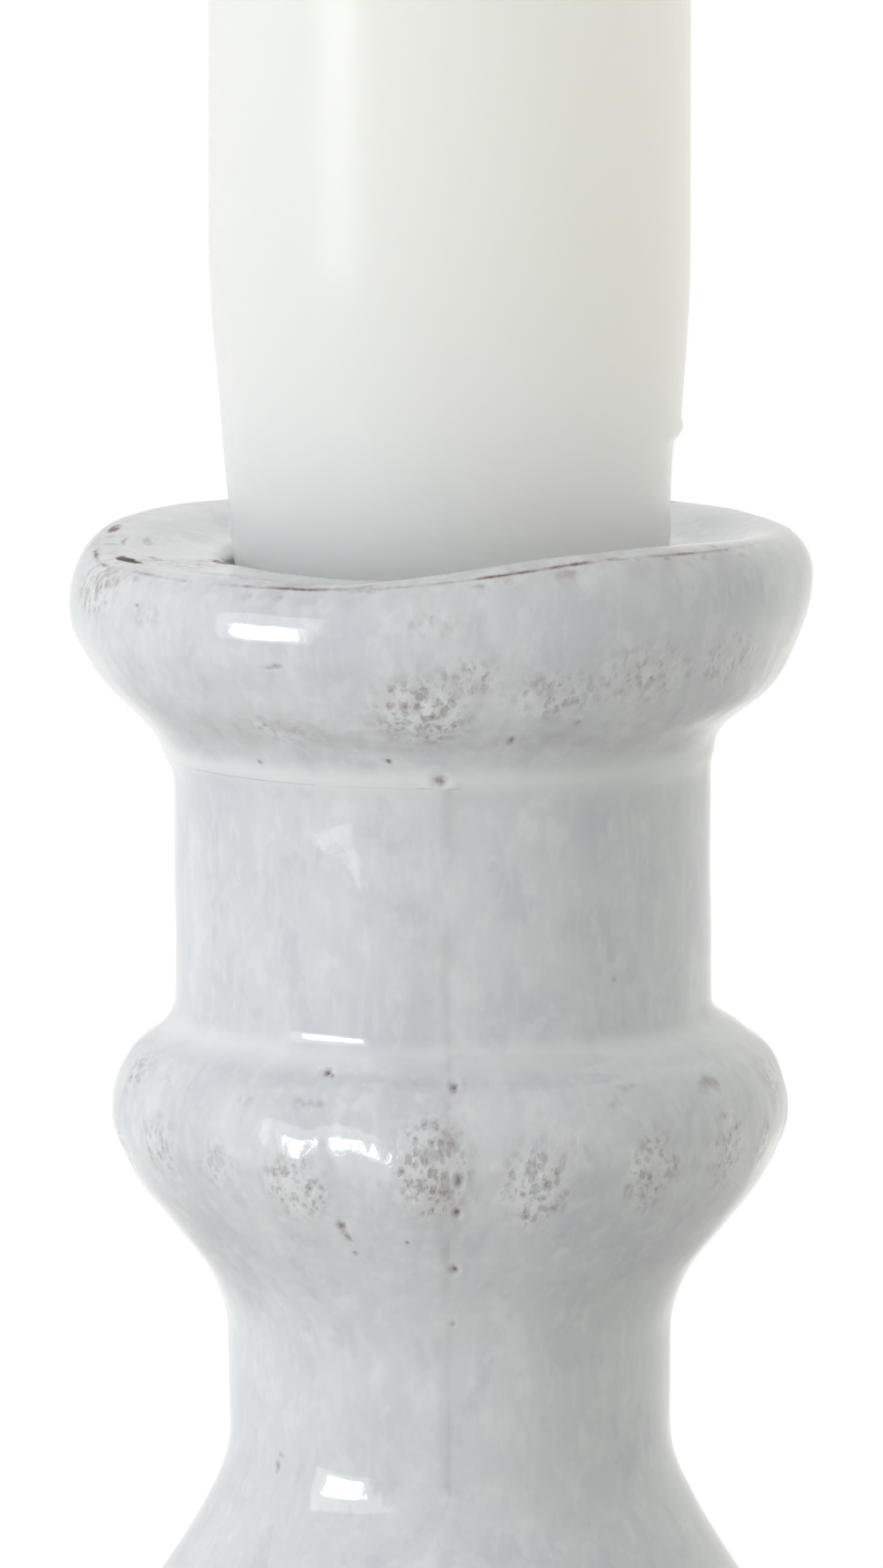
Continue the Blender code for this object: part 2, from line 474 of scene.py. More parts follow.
class Nodes:
    """A node tree, with short ways to add to it."""

    def __init__(self, tree: bpy.types.NodeTree) -> None:
        """Starts on a tree."""
        self.tree = tree

    def node(self, kind: str) -> bpy.types.Node:
        """Adds a node of a kind, such as Math, to the tree."""
        return self.tree.nodes.new(f"ShaderNode{kind}")

    def join(self, source: object, target: bpy.types.NodeSocket) -> None:
        """Joins a source to a socket.

        Args:
            source: A socket, which is linked, or a plain value, which is set.
            target: The socket that takes it.
        """
        if isinstance(source, bpy.types.NodeSocket):
            self.tree.links.new(source, target)
        else:
            target.default_value = source

    def sum(
        self, operation: str, first: object, second: object, third: object = 0.0
    ) -> bpy.types.NodeSocket:
        """A sum with the Math node.

        Args:
            operation: One of the node's operations.
            first: Its first value or socket.
            second: Its second.
            third: Its third, for operations that have one.

        Returns:
            The result.
        """
        node = self.node("Math")
        node.operation = operation
        for value, target in zip((first, second, third), node.inputs):
            self.join(value, target)
        return node.outputs["Value"]

    def step(self, low: float, high: float, value: object) -> bpy.types.NodeSocket:
        """A soft step.

        Args:
            low: Where it starts, at 0.
            high: Where it ends, at 1. It may be below low.
            value: What is stepped.

        Returns:
            The stepped value.
        """
        node = self.node("MapRange")
        node.interpolation_type = "SMOOTHSTEP"
        node.inputs["From Min"].default_value = low
        node.inputs["From Max"].default_value = high
        self.join(value, node.inputs["Value"])
        return node.outputs["Result"]

    def blend(self, share: object, first: object, second: object) -> bpy.types.NodeSocket:
        """Blends two colours.

        Args:
            share: 0 for the first colour and 1 for the second.
            first: A socket or (red, green, blue).
            second: Likewise.

        Returns:
            The blended colour.
        """
        node = self.node("Mix")
        node.data_type = "RGBA"
        self.join(share, node.inputs[0])
        for value, target in zip((first, second), node.inputs[6:8]):  # the node's two colours
            self.join(value if isinstance(value, bpy.types.NodeSocket) else (*value, 1.0), target)
        return node.outputs[2]


class Recipe(Nodes):
    """A material's node tree, with textures, the skin's marks and the shader."""

    def __init__(self, name: str) -> None:
        """Starts a material with a Principled shader.

        Args:
            name: The material's name.
        """
        self.material = bpy.data.materials.new(name)
        self.material.use_nodes = True
        super().__init__(self.material.node_tree)
        self.shader = self.tree.nodes["Principled BSDF"]
        self.place = self.node("TexCoord").outputs["Object"]

    def stretched(self, place: bpy.types.NodeSocket, tall: float) -> bpy.types.NodeSocket:
        """A place whose Z is squeezed.

        Args:
            place: The place.
            tall: How much taller than wide a thing drawn there is to be.

        Returns:
            The squeezed place.
        """
        stretch = self.node("Mapping")
        stretch.inputs["Scale"].default_value = (1.0, 1.0, 1.0 / tall)
        self.join(place, stretch.inputs["Vector"])
        return stretch.outputs["Vector"]

    def grain(
        self, size: float, tall: float = 1.0, detail: float = 2.0, rough: float = 0.5
    ) -> bpy.types.NodeSocket:
        """Noise in the object's own space.

        Args:
            size: Size of a grain in millimetres.
            tall: How much taller than wide it is.
            detail: Octaves of finer noise.
            rough: How strong those are.

        Returns:
            The noise's value.
        """
        place = self.place if tall == 1.0 else self.stretched(self.place, tall)
        noise = self.node("TexNoise")
        noise.inputs["Scale"].default_value = 1.0 / (size * MM)
        noise.inputs["Detail"].default_value = detail
        noise.inputs["Roughness"].default_value = rough
        self.join(place, noise.inputs["Vector"])
        return noise.outputs["Fac"]

    def cells(self, size: float, tall: float) -> tuple[bpy.types.NodeSocket, bpy.types.NodeSocket]:
        """Uneven cells in the object's own space.

        Args:
            size: Width of a cell in millimetres.
            tall: How much taller than wide it is.

        Returns:
            Distance from each cell's middle, in cells, and a random value for each cell.
        """
        wander = self.node("TexNoise")
        wander.inputs["Scale"].default_value = 1.3 / (size * MM)
        self.join(self.place, wander.inputs["Vector"])
        shift = self.node("VectorMath")
        shift.operation = "MULTIPLY_ADD"
        shift.inputs[1].default_value = (0.9 * size * MM,) * 3
        self.join(wander.outputs["Color"], shift.inputs[0])
        self.join(self.place, shift.inputs[2])
        cells = self.node("TexVoronoi")
        cells.inputs["Scale"].default_value = 1.0 / (size * MM)
        self.join(self.stretched(shift.outputs["Vector"], tall), cells.inputs["Vector"])
        parts = self.node("SeparateColor")
        self.join(cells.outputs["Color"], parts.inputs["Color"])
        return cells.outputs["Distance"], parts.outputs["Red"]

    def wash(self, under: object, over: object, where: object, much: float) -> bpy.types.NodeSocket:
        """Washes one colour over another.

        Args:
            under: The colour below, as a socket or (red, green, blue).
            over: The colour above.
            where: Where it goes, from 0 to 1.
            much: How strong it is there.

        Returns:
            The colour of both.
        """
        return self.blend(self.sum("MULTIPLY", where, much), under, over)

    def layers(self, base: object, added: list[tuple[object, float]]) -> bpy.types.NodeSocket:
        """Adds layers to a value.

        Args:
            base: The value.
            added: A socket and how much of it is added, for each layer.

        Returns:
            The total.
        """
        for layer, much in added:
            base = self.sum("MULTIPLY_ADD", layer, much, base)
        return base

    def mark(self, name: str) -> bpy.types.NodeSocket:
        """One of the skin's marks.

        Args:
            name: Its name.

        Returns:
            Its value.
        """
        node = self.node("Attribute")
        node.attribute_name = name
        return node.outputs["Fac"]

    def bump(self, height: object, depth: float) -> None:
        """Gives the shader a bumped normal.

        Args:
            height: How high the surface stands, as a socket.
            depth: What a height of 1 is, in millimetres.
        """
        node = self.node("Bump")
        node.inputs["Strength"].default_value = 1.0
        node.inputs["Distance"].default_value = depth * MM
        self.join(height, node.inputs["Height"])
        self.join(node.outputs["Normal"], self.shader.inputs["Normal"])

    def set(self, **values: object) -> None:
        """Sets or links the shader's sockets.

        Args:
            **values: A value or socket for each, named in lower case with underscores.
        """
        for name, value in values.items():
            socket = next(s for s in self.shader.inputs if s.name.lower().replace(" ", "_") == name)
            self.join(value, socket)


Colour = tuple[float, float, float]


@dataclass(frozen=True)
class Glaze:
    """Milky white glaze, glossy, thick enough to hide the brown clay except at edges, pits and pinholes."""

    milk: Colour = (0.675, 0.707, 0.726)
    lavender: Colour = (0.606, 0.620, 0.674)
    pale: Colour = (0.780, 0.812, 0.818)
    mauve: Colour = (0.400, 0.345, 0.352)
    brown: Colour = (0.175, 0.125, 0.108)
    painted_slit_shade: Colour = (0.022, 0.016, 0.014)
    unglazed: Colour = (0.150, 0.098, 0.072)
    gloss: float = 0.05
    dull: float = 0.50

    def colours(self, r: Recipe, crawl: object, ridges: object) -> bpy.types.NodeSocket:
        """The glaze's colour: clouds, mottling, brushed streaks and crawled patches, with painted light on
        the pool bands and painted shade in the seam mark under the pan.

        Args:
            r: The recipe.
            crawl: How far the glaze crawled.
            ridges: Where it stands up between pits.

        Returns:
            The colour.
        """
        cloud, mottle = r.grain(6.0, 1.2, 3.0), r.grain(1.9, 1.5, 4.0, 0.62)
        blot, brush = r.grain(1.0, 1.3, 2.0), r.grain(0.45, 4.0, 2.0)
        haze = r.sum("MULTIPLY", crawl, r.step(0.40, 0.62, r.grain(0.75, 1.5, 2.0)))
        seam = r.sum("MULTIPLY", r.mark("seam"), r.step(0.30, 0.70, r.grain(1.2, 2.0, 2.0)))
        colour = self.milk
        for over, where, much in (
            (self.lavender, r.step(0.46, 0.66, cloud), 0.65),
            (self.pale, r.step(0.52, 0.68, mottle), 0.52),
            (self.lavender, r.step(0.46, 0.34, mottle), 0.65),
            (self.pale, r.step(0.56, 0.68, blot), 0.32),
            (self.pale, r.step(0.50, 0.70, brush), 0.25),
            # painted light and pooled glaze on the joint bead and on the stem's fillet
            (self.pale, r.mark("pooled_glaze_and_painted_light"), 0.95),
            (self.mauve, haze, 0.60),
            (self.pale, ridges, 0.70),
            # The seam mark is the mould seam and the wear by the lip, and also the painted shade band under
            # the pan.
            (self.mauve, seam, 0.34),
        ):
            colour = r.wash(colour, over, where, much)
        return colour

    def pits(
        self, r: Recipe, crawl: object, apart: object, chance: object
    ) -> tuple[bpy.types.NodeSocket, bpy.types.NodeSocket]:
        """Where the crawled glaze opened into pits.

        Args:
            r: The recipe.
            crawl: How far the glaze crawled.
            apart: Distance from the middle of each cell of glaze.
            chance: A random value for each cell.

        Returns:
            The pits, and their bottoms.
        """
        crawled = r.step(0.10, 0.80, crawl)
        opened = r.sum("MULTIPLY", r.step(0.25, 0.75, chance), crawled)
        pits = r.sum("MULTIPLY", r.step(0.50, 0.12, apart), opened)
        worms = r.sum("MULTIPLY", r.step(0.54, 0.68, r.grain(0.36, 1.6, 3.0, 0.6)), crawled)
        pits = r.sum("MAXIMUM", r.sum("MULTIPLY", pits, 0.75), worms)
        return pits, r.sum("MULTIPLY", r.step(0.24, 0.06, apart), r.step(0.35, 0.9, opened))

    def dress(self, piece: bpy.types.Object) -> None:
        """Gives a piece this finish.

        Args:
            piece: The piece.
        """
        r = Recipe("milky_glaze")
        crawl, thin = r.mark("crawl"), r.mark("clay")
        fleck, dust = r.grain(0.8, 1.4, 3.0, 0.6), r.grain(0.30, 1.2, 2.0)
        apart, chance = r.cells(0.46, 1.35)
        ridges = r.sum("MULTIPLY", r.step(0.34, 0.52, apart), crawl)
        colour = self.colours(r, crawl, ridges)
        pits, bottom = self.pits(r, crawl, apart, chance)
        colour = r.wash(colour, self.mauve, pits, 0.55)
        colour = r.wash(colour, self.brown, bottom, 0.45)
        frayed = r.sum("MULTIPLY_ADD", r.sum("SUBTRACT", dust, 0.5), 0.60, thin)
        frayed = r.sum("MULTIPLY", frayed, r.step(0.0, 0.10, thin))
        colour = r.wash(colour, self.mauve, r.step(0.06, 0.55, frayed), 0.70)
        core = r.step(0.44, 0.80, frayed)
        colour = r.blend(core, colour, self.brown)
        # Where the clay mark is full, in the slit in the lip, the colour goes nearly black: painted shade
        # inside the slit.
        colour = r.blend(r.step(0.84, 0.96, thin), colour, self.painted_slit_shade)
        edge = r.sum("MULTIPLY_ADD", r.sum("SUBTRACT", fleck, 0.5), 0.6, r.mark("bare"))
        bare = r.step(0.44, 0.56, edge)
        earth = r.blend(r.step(0.35, 0.7, fleck), self.unglazed, self.brown)
        colour = r.blend(bare, colour, earth)
        open_clay = r.sum("MAXIMUM", core, bare)
        spots = r.step(0.35, 0.8, fleck)
        rough = r.layers(self.gloss, [(spots, 0.07), (crawl, 0.08), (open_clay, self.dull)])
        waves = r.sum("MULTIPLY", r.grain(2.4, 1.3, 2.0), 0.8)
        relief = [(fleck, 0.25), (pits, -0.9), (core, -1.0), (ridges, 0.5), (dust, 0.08)]
        r.bump(r.layers(waves, relief), 0.030)
        r.set(base_color=colour, roughness=rough, ior=1.56)
        piece.data.materials.append(r.material)


@dataclass(frozen=True)
class Clay:
    """Fired brown clay without glaze, dry and grainy."""

    dark: Colour = (0.095, 0.060, 0.045)
    light: Colour = (0.200, 0.135, 0.100)

    def dress(self, piece: bpy.types.Object) -> None:
        """Gives a piece this finish.

        Args:
            piece: The piece.
        """
        r = Recipe("fired_clay")
        body, sand = r.grain(2.5, 1.0, 4.0, 0.65), r.grain(0.35, 1.0, 2.0)
        colour = r.blend(r.step(0.3, 0.7, body), self.dark, self.light)
        colour = r.wash(colour, self.dark, r.step(0.55, 0.75, sand), 0.4)
        r.bump(r.sum("MULTIPLY_ADD", sand, 0.5, body), 0.12)
        r.set(base_color=colour, roughness=r.sum("MULTIPLY_ADD", body, 0.2, 0.72))
        piece.data.materials.append(r.material)


@dataclass(frozen=True)
class Wax:
    """White candle wax: soft shine, light that goes in a little way, faint clouds, and a scraped end
    painted whiter, partly frost and partly painted glow.
    """

    white: Colour = (0.758, 0.792, 0.732)
    cloudy: Colour = (0.740, 0.772, 0.714)
    frosted_and_painted_glow: Colour = (0.880, 0.914, 0.890)
    soft_depth: float = 0.0750

    def dress(self, piece: bpy.types.Object) -> None:
        """Gives a piece this finish.

        Args:
            piece: The piece.
        """
        r = Recipe("white_wax")
        cloud, smear = r.grain(9.0, 1.6, 3.0), r.grain(1.6, 2.2, 3.0)
        colour = r.blend(r.step(0.35, 0.75, cloud), self.white, self.cloudy)
        scraped = r.mark("scraped")
        # The scraped end is washed whiter: partly frosted wax, partly painted glow where the base stands in
        # the pan's shade.
        colour = r.wash(colour, self.frosted_and_painted_glow, scraped, 0.7)
        rough = r.layers(0.20, [(r.step(0.3, 0.8, smear), 0.03), (scraped, 0.03)])
        r.bump(r.sum("MULTIPLY", smear, r.sum("MULTIPLY_ADD", scraped, 1.0, 0.4)), 0.03)
        r.set(base_color=colour, roughness=rough, ior=1.44, specular_ior_level=0.32)
        r.set(subsurface_weight=1.0, subsurface_radius=(1.0, 0.93, 0.78), subsurface_scale=self.soft_depth)
        piece.data.materials.append(r.material)


@dataclass(frozen=True)
class Cotton:
    """Braided cotton, waxed where it leaves the candle."""

    thread: Colour = (0.80, 0.77, 0.69)
    shade: Colour = (0.52, 0.48, 0.40)

    def dress(self, piece: bpy.types.Object) -> None:
        """Gives a piece this finish.

        Args:
            piece: The piece.
        """
        r = Recipe("braided_cotton")
        fibre = r.grain(0.12, 3.0, 3.0, 0.7)
        colour = r.blend(r.mark("hollow"), self.thread, self.shade)
        colour = r.wash(colour, self.shade, r.step(0.5, 0.8, fibre), 0.35)
        r.bump(fibre, 0.05)
        r.set(base_color=colour, roughness=r.sum("MULTIPLY_ADD", fibre, 0.2, 0.72))
        piece.data.materials.append(r.material)


@dataclass(frozen=True)
class Paper:
    """The white sweep that the candlestick stands on, which fades into the white all round."""

    white: Colour = (0.57, 0.555, 0.53)
    fade_from: float = 0.12
    fade_to: float = 0.44
    lift: float = 0.62

    def dress(self, piece: bpy.types.Object) -> None:
        """Gives a piece this finish.

        Args:
            piece: The piece.
        """
        r = Recipe("white_paper")
        away = r.node("VectorMath")
        away.operation = "LENGTH"
        r.join(r.place, away.inputs[0])
        gone = r.step(self.fade_from, self.fade_to, away.outputs["Value"])
        seen = r.node("LightPath").outputs["Is Camera Ray"]
        tooth = r.grain(3.0, 1.0, 3.0)
        r.bump(tooth, 0.05)
        colour = r.wash(self.white, (0.5, 0.5, 0.5), tooth, 0.06)
        r.set(base_color=colour, roughness=0.8, emission_color=(1.0, 1.0, 1.0, 1.0))
        r.set(emission_strength=r.sum("MULTIPLY", seen, self.lift))
        clear = r.node("BsdfTransparent")
        mixed = r.node("MixShader")
        r.join(gone, mixed.inputs[0])
        r.join(r.shader.outputs["BSDF"], mixed.inputs[1])
        r.join(clear.outputs["BSDF"], mixed.inputs[2])
        end = next(n for n in r.tree.nodes if n.type == "OUTPUT_MATERIAL")
        r.join(mixed.outputs["Shader"], end.inputs["Surface"])
        piece.data.materials.append(r.material)


# ------------------------------------------------------------------------------------ sub-assemblies


def seat(piece: bpy.types.Object, body: Body, node: str) -> bpy.types.Object:
    """Puts a finished piece in the frame.

    Args:
        piece: The new piece.
        body: The body that it rides on.
        node: The CAD node that it stands for.

    Returns:
        The piece.
    """
    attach(piece, body.value)
    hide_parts(node)
    log.info("%s: %d faces on %s", piece.name, len(piece.data.polygons), body.value)
    return piece


def half_width(node: str) -> float:
    """Half of a CAD node's width along Y, in millimetres."""
    low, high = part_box(node)
    return (high.y - low.y) / 2 / MM


def span(node: str) -> tuple[float, float]:
    """A CAD node's lowest and highest height, in millimetres."""
    low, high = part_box(node)
    return low.z / MM, high.z / MM


@dataclass(frozen=True)
class NeckJoint:
    """Where the pan is luted to the neck, with the fillet of slip that is fuller on the left.

    Attributes:
        height: Its height in millimetres.
        left: The station that both skins pass at the left.
        right: The station that both pass at the right.
    """

    height: float
    left: Station
    right: Station

    @classmethod
    def of_frame(cls) -> "NeckJoint":
        """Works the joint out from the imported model."""
        height = span("drip_dish")[0] + 0.05
        neck = half_width("drip_dish") - LIP_OVERHANG
        return cls(height, Station(neck + 0.68, height, -113), Station(neck - 0.24, height, -95))

    def at(self, side: float) -> Station:
        """The station at the left (-1) or the right (1)."""
        return self.left if side < 0 else self.right


@dataclass
class DripDish:
    """The wide pan with its soft rolled lip, pressed as one piece and luted to the neck."""

    hands: HandWork
    glaze: Glaze
    neck_joint: NeckJoint
    columns: int = 420
    top: float = span("drip_dish")[1]
    lip: float = half_width("drip_dish")
    sideways: float = 0.41  # the lip was luted on a little to the left
    roll: float = 1.75
    pan: float = 0.75
    mouth: float = 10.30
    rows: tuple[int, ...] = (58, 44, 34, 26)
    patches: tuple[PitPatch, ...] = (
        PitPatch(-5.0, 143.9, 2.3, 1.7, 1.0, 0.10),
        PitPatch(3.0, 145.6, 1.6, 1.0, 0.5, 0.06),
        PitPatch(17.0, 144.6, 2.6, 1.3, 0.45, 0.07),
        PitPatch(33.0, 145.4, 2.8, 1.5, 0.55, 0.08),
        PitPatch(50.0, 145.6, 2.4, 1.4, 0.4, 0.06),
        PitPatch(-30.0, 142.8, 2.6, 0.8, 0.35, 0.05),
        PitPatch(-70.0, 148.3, 2.6, 1.3, 0.90, 0.03),
        PitPatch(-3.0, 148.0, 1.7, 0.8, 0.30, 0.03),
        PitPatch(-52.0, 147.6, 1.6, 0.5, 0.35, 0.02),
    )
    holes: tuple[Pinhole, ...] = (
        Pinhole(-27.0, 145.9, 0.20, 0.7),
        Pinhole(-28.6, 145.8, 0.14, 0.8),
        Pinhole(-2.0, 140.4, 0.34, 0.9, 0.10),
        Pinhole(-40.0, 140.9, 0.14),
        Pinhole(-12.0, 141.3, 0.15),
        Pinhole(11.0, 142.4, 0.18, 1.4),
        Pinhole(22.0, 143.2, 0.15),
        Pinhole(-55.0, 148.0, 0.16, 0.6),
    )
    domes: tuple[Dome, ...] = (
        Dome(-25.5, 147.1, 3.4, -0.10),
        Dome(-4.0, 144.2, 2.6, 0.10),
    )

    def outline(self, side: float) -> np.ndarray:
        """The closed outline at one side.

        Args:
            side: -1 for the left and 1 for the right.

        Returns:
            An array of (radius, height).
        """
        lip = self.lip - self.sideways * side
        left = side < 0
        joint = self.neck_joint.at(side)
        outside = [
            Station(lip - self.roll, self.top, 0),
            Station(lip, self.top - (2.7 if left else 2.1), -90),
            Station(lip - (1.02 if left else 1.12), self.top - 5.7, -118 if left else -114),
            Station(lip - (2.98 if left else 3.28), joint.height + 2.07, -136 if left else -143),
            joint,
        ]
        inside = [
            Station(lip - self.roll, self.top, 180),
            Station(self.mouth + 0.7, self.top - self.pan, 186),
            Station(self.mouth, self.top - self.pan - 0.8, -90),
        ]
        bore = straight([(9.75, joint.height), (self.mouth, self.top - self.pan - 0.8)], [16])
        pan = arcs(inside, [44, 12])[:0:-1]
        return np.concatenate([arcs(outside, list(self.rows)), [outside[-1][:2]], bore, pan])

    def wave(self, turn: np.ndarray) -> np.ndarray:
        """How far the lip rises or sinks.

        Args:
            turn: Turns in degrees.

        Returns:
            The rise at each turn, in millimetres.
        """
        around = from_front(turn)
        sunk = smooth(-112.0, -80.0, around) * smooth(24.0, -26.0, around)
        return 0.30 + 0.50 * bell(around - 38.0, 34.0) - 0.85 * sunk

    def shape(self) -> Skin:
        """The pan's skin, with its wavy lip, worn edge, slit and pits."""
        skin = Skin(full_circle(self.columns), self.outline(-1.0), self.outline(1.0), True)
        skin.face_out(sum(self.rows))
        lumps = self.hands.lumps
        rolled = smooth(self.top - 7.0, self.top - 1.5, skin.height)
        rolled = rolled * smooth(self.mouth + 0.5, self.lip - 3.0, skin.radius)
        skin.height = skin.height + self.wave(skin.turn) * rolled
        clear = smooth(self.mouth + 0.2, self.mouth + 1.5, skin.radius)
        self.hands.touch(skin, clear)
        self.hands.lute(skin, self.neck_joint.height + 0.2, clear)
        self.hands.stand_streaks(skin, self.top - 5.6, 1.7, 0.030)
        for dome in self.domes:
            dome.press(skin)
        for patch in self.patches:
            patch.press(skin, lumps)
        for hole in self.holes:
            hole.press(skin)
        self.wear(skin)
        self.slit(skin)
        around = from_front(skin.turn)
        # Painted shade: a mauve band under the pan just above the joint, strongest at the left and front,
        # carried in the seam mark.
        thin = bell(skin.height - self.neck_joint.height - 2.4, 0.80) * smooth(-95.0, -30.0, around)
        skin.mark("seam", 0.90 * thin * clear)
        inner = smooth(self.top - 4.0, self.top - 5.5, skin.height)
        skin.mark("bare", inner * smooth(self.mouth + 1.3, self.mouth + 0.9, skin.radius))
        return skin

    def wear(self, skin: Skin) -> None:
        """Lets the clay show in a thin broken line just outside the crest of the lip.

        Args:
            skin: The pan's skin.
        """
        places = skin.points()
        outer = smooth(self.lip - self.roll - 0.5, self.lip - self.roll + 0.2, skin.radius)
        below = self.top + self.wave(skin.turn) - skin.height
        drift = 0.17 + 0.14 * self.hands.lumps.at(places, 6.0, 99.0)
        line = bell(below - drift, 0.070) * outer
        broken = 0.35 + 0.65 * smooth(-0.5, 0.5, self.hands.lumps.at(places + 3.0, 0.9))
        long_gaps = 0.40 + 0.60 * smooth(-0.5, 0.3, self.hands.lumps.at(places + 19.0, 7.0))
        skin.mark("clay", 0.72 * line * broken * long_gaps)
        tufts = smooth(0.2, 0.8, self.hands.lumps.at(places + 5.0, 0.7, 0.5))
        tufts = tufts * smooth(0.9, 0.2, below - drift)
        skin.mark("clay", 0.36 * tufts * outer * long_gaps)
        skin.mark("seam", 0.75 * smooth(1.7, 0.2, below - drift) * outer * long_gaps)

    def slit(self, skin: Skin) -> None:
        """Opens the dark slit in the lip's left side, painted nearly black as the shade inside it, with
        brown stains round it, and by the candle a dark spot that is brown clay and painted shadow of the
        gap.

        Args:
            skin: The pan's skin.
        """
        places = skin.points()
        on_top = smooth(self.top - 2.0, self.top - 1.2, skin.height)
        for turn, radius, wide, deep, dark in (
            (-73.0, 15.35, 1.90, 0.50, 1.0),
            (-100.0, 15.7, 0.9, 0.32, 0.66),
            (-92.0, 14.9, 0.7, 0.17, 0.55),
            (-78.0, 13.75, 1.3, 0.28, 0.50),
            (-94.0, 13.9, 0.9, 0.26, 0.42),
            # Beside the candle: brown clay and painted shadow of the gap round the candle.
            (-70.0, 11.1, 1.3, 0.42, 0.66),
            (138.0, 14.8, 1.2, 0.25, 0.6),
        ):
            around = skin.from_place(turn, 0.0)[0]
            torn = 0.2 * self.hands.lumps.at(places, 0.7)
            spot = bell(around, wide) * bell(skin.radius - radius + 0.5 * torn, deep)
            skin.mark("clay", dark * smooth(0.2, 0.7, spot + torn) * on_top)
            skin.push(-0.05 * dark * spot * on_top)

    def build(self) -> bpy.types.Object:
        """Makes the pan and dresses it."""
        piece = self.shape().mesh("DripDish")
        self.glaze.dress(piece)
        return seat(piece, Body.HOLDER, "drip_dish")


@dataclass
class Stem:
    """The hollow stem: two pressed half shells luted together down the front and the back."""

    hands: HandWork
    glaze: Glaze
    neck_joint: NeckJoint
    columns: int = 250
    crowding: float = 0.35
    bottom: float = span("stem_left_shell")[0]
    neck: float = half_width("drip_dish") - LIP_OVERHANG
    sideways: float = 0.28
    ring: float = 15.52
    waist: float = 10.20
    baluster: float = 17.6
    slim: float = 9.2
    bead: float = 13.8
    foot_joint: float = 10.6
    fillet_height: float = 127.6
    corner_height: float = 126.1
    ring_height: float = 122.6
    waist_height: float = 109.8
    baluster_height: float = 91.6
    slim_height: float = 62.5
    bead_height: float = 53.9
    wall: float = 2.4
    seat_radius: float = 9.35
    ledge: float = 121.9
    rows: tuple[int, ...] = (8, 28, 14, 10, 9, 8, 15, 16, 13, 11, 12, 12, 14, 44, 62, 30, 26)
    patches: tuple[PitPatch, ...] = (
        PitPatch(-3.2, 123.2, 1.8, 2.4, 1.0, 0.11),
        PitPatch(-27.5, 122.0, 1.7, 1.6, 0.85, 0.08),
        PitPatch(-44.0, 122.6, 1.5, 1.6, 0.35, 0.06),
        PitPatch(14.5, 122.2, 1.6, 2.0, 0.95, 0.10),
        PitPatch(21.0, 123.6, 0.9, 1.0, 0.35, 0.07),
        PitPatch(36.5, 122.6, 1.5, 2.0, 0.75, 0.10),
        PitPatch(55.0, 123.1, 1.3, 1.9, 0.7, 0.10),
        PitPatch(-60.0, 123.0, 1.8, 1.8, 0.45, 0.07),
        PitPatch(-74.0, 125.8, 1.6, 1.0, 0.55, 0.06),
        PitPatch(76.0, 125.4, 1.4, 1.2, 0.45, 0.06),
    )
    domes: tuple[Dome, ...] = (
        Dome(-6.8, 122.8, 1.9, 0.62, 1.2),
        Dome(-26.0, 123.0, 1.5, 0.16),
        Dome(20.0, 122.6, 1.5, 0.10),
        Dome(38.0, 122.6, 1.6, 0.10),
        Dome(-14.0, 130.5, 2.1, 0.35, 3.1),
        Dome(-22.0, 106.0, 3.0, -0.25, 0.8),
        Dome(86.0, 126.0, 1.6, 0.12),
        Dome(-88.0, 126.8, 1.4, 0.12),
    )
    holes: tuple[Pinhole, ...] = (
        Pinhole(0.8, 126.7, 0.20, 1.2, 0.08),
        Pinhole(1.4, 122.6, 0.20, 1.6, 0.10),
        Pinhole(1.2, 121.1, 0.20, 1.3, 0.08),
        Pinhole(0.9, 118.1, 0.22, 1.1, 0.08),
        Pinhole(0.6, 115.3, 0.14),
        Pinhole(-24.0, 127.1, 0.24, 0.7, 0.09),
        Pinhole(-22.6, 127.0, 0.15, 0.7),
        Pinhole(-20.0, 120.2, 0.24, 1.3, 0.10),
        Pinhole(-19.4, 119.7, 0.17, 1.6),
        Pinhole(-19.0, 118.8, 0.14),
        Pinhole(-8.0, 119.5, 0.12),
        Pinhole(38.0, 130.8, 0.13),
        Pinhole(-50.0, 107.9, 0.16, 1.9),
        Pinhole(-49.0, 108.4, 0.12, 1.2),
        Pinhole(64.0, 134.9, 0.10),
    )

    def outline(self, side: float) -> np.ndarray:
        """The closed outline at one side.

        Args:
            side: -1 for the left and 1 for the right.

        Returns:
            An array of (radius, height).
        """
        neck = self.neck - self.sideways * side
        top = self.neck_joint.height
        upper = [
            self.neck_joint.at(side),
            Station(neck, top - 1.8, -90),
            Station(neck, 128.70, -90),
            Station(13.55 + 0.07 * side, 127.10, -42),
            Station(14.68 + 0.08 * side, 126.15, -58),
            Station(15.35, 124.75, -72),
            Station(self.ring, 123.5, -90),
            Station(14.93, 121.53, -111),
            Station(13.4, 119.1, -129.5),
            Station(11.9, 117.26, -129),
            Station(10.74, 115.43, -113),
            Station(self.waist, 112.9, -90),
            Station(self.waist, 109.0, -90),
            Station(11.08, 105.65, -63),
            Station(self.baluster, self.baluster_height, -90),
            Station(self.slim, self.slim_height, -90),
            Station(self.bead, self.bead_height, -90),
            Station(self.foot_joint, self.bottom, -95),
        ]
        throat, bore = self.waist - self.wall - 0.1, self.slim - self.wall
        hollow = [
            Station(throat, self.waist_height, -90),
            Station(self.baluster - self.wall, self.baluster_height, -90),
            Station(bore, self.slim_height, -90),
        ]
        below = [(bore, self.slim_height), (bore, self.bottom)]
        inside = np.concatenate([[(throat, self.ledge)], arcs(hollow, [7, 7]), below])
        socket = [(10.0, top), (self.seat_radius, self.ledge)]
        outside = [arcs(upper, list(self.rows)), [upper[-1][:2]]]
        return np.concatenate([*outside, inside[::-1], socket[::-1]])

